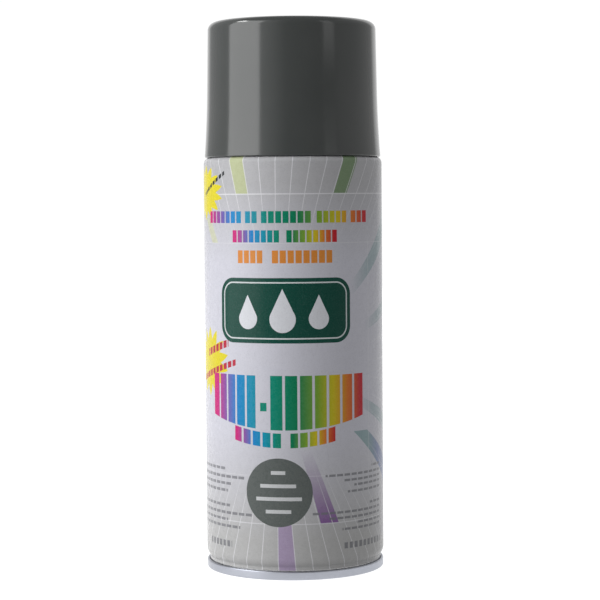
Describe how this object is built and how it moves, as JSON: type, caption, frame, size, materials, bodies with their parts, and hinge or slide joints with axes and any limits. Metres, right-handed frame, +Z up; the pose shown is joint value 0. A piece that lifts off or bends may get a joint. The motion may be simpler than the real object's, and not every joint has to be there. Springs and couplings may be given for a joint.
{
  "type": "aerosol spray can",
  "caption": "Aerosol paint can: necked-in tinplate body with seamed dome and base, crimped spray valve with sprung stem and turning button, dip tube, mixing balls and a lift-off overcap.",
  "frame": {"origin": "centre of the plane that the base seam stands on", "axes": "+Z up along the can's axis; the spray nozzle points along -Y; the body's welded side seam is on the +Y side"},
  "size_m": [0.065, 0.065, 0.1994],
  "materials": {
    "cap_plastic": "gloss dark grey polypropylene",
    "button_plastic": "satin white polypropylene",
    "insert_plastic": "red acetal",
    "valve_plastic": "natural nylon",
    "gasket_rubber": "black nitrile",
    "spring_steel": "drawn stainless wire",
    "tube_plastic": "natural polyethylene",
    "cup_tinplate": "bright tinplate",
    "cup_liner": "pale polyethylene sleeve",
    "end_tinplate": "stone-finish tinplate",
    "seam_lining": "cured lining compound",
    "printed_tinplate": "gloss varnish over lithographed print",
    "ball_steel": "polished steel"
  },
  "bodies": {
    "can": {"stem_gasket": "gasket_rubber", "valve_spring": "spring_steel", "valve_housing": "valve_plastic", "dip_tube": "tube_plastic", "mounting_cup": "cup_tinplate", "cup_gasket": "cup_liner", "dome": "end_tinplate", "dome_seam_compound": "seam_lining", "can_body": "printed_tinplate", "base_seam_compound": "seam_lining", "base_end": "end_tinplate"},
    "stem": {"valve_stem": "valve_plastic"},
    "spray_button": {"actuator_button": "button_plastic", "nozzle_insert": "insert_plastic"},
    "cap": {"overcap": "cap_plastic"},
    "ball_1": {"mixing_ball_1": "ball_steel"},
    "ball_2": {"mixing_ball_2": "ball_steel"}
  },
  "joints": [
    {"name": "stem_press", "type": "slide", "parent": "can", "child": "stem", "axis": [0, 0, -1], "range_m": [0, 0.0013], "stiffness_N_per_m": 8000, "deforming": ["valve_spring"]},
    {"name": "button_turn", "type": "hinge", "parent": "stem", "child": "spray_button", "pos_m": [0, 0, 0.18], "axis": [0, 0, 1], "continuous": true},
    {"name": "cap_lift", "type": "slide", "parent": "can", "child": "cap", "axis": [0, 0, 1], "range_m": [0, 0.06]},
    {"name": "ball_1_rattle", "type": "slide", "parent": "can", "child": "ball_1", "axis": [0, 0, 1], "range_m": [0, 0.1374]},
    {"name": "ball_2_rattle", "type": "slide", "parent": "can", "child": "ball_2", "axis": [0, 0, 1], "range_m": [0, 0.1374]}
  ]
}
